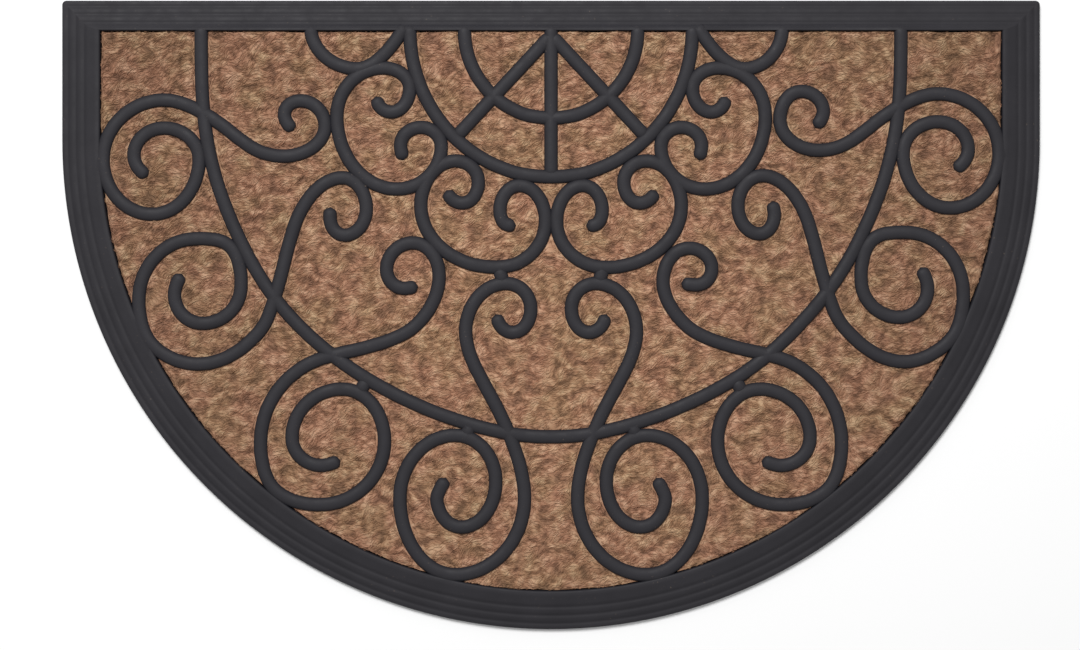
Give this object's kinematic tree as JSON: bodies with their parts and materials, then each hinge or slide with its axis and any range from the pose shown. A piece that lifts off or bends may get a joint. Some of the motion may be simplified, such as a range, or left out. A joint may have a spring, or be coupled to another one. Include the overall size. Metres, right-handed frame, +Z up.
{
  "type": "half-round doormat",
  "caption": "Half-round doormat: a flat coir pad held in a dark rubber moulding with a ribbed border and raised wrought-iron style scrollwork.",
  "frame": {"origin": "middle of the bounding box on the surface the mat lies on", "axes": "+X along the straight edge, to the right in the picture; +Y towards the straight edge; +Z up out of the tread surface"},
  "size_m": [0.7, 0.45, 0.01],
  "materials": {
    "rubber": "satin moulded rubber",
    "coir": "short matted natural fibre"
  },
  "bodies": {
    "root": {"rubber_moulding": "rubber", "coir_pad": "coir"}
  },
  "joints": []
}
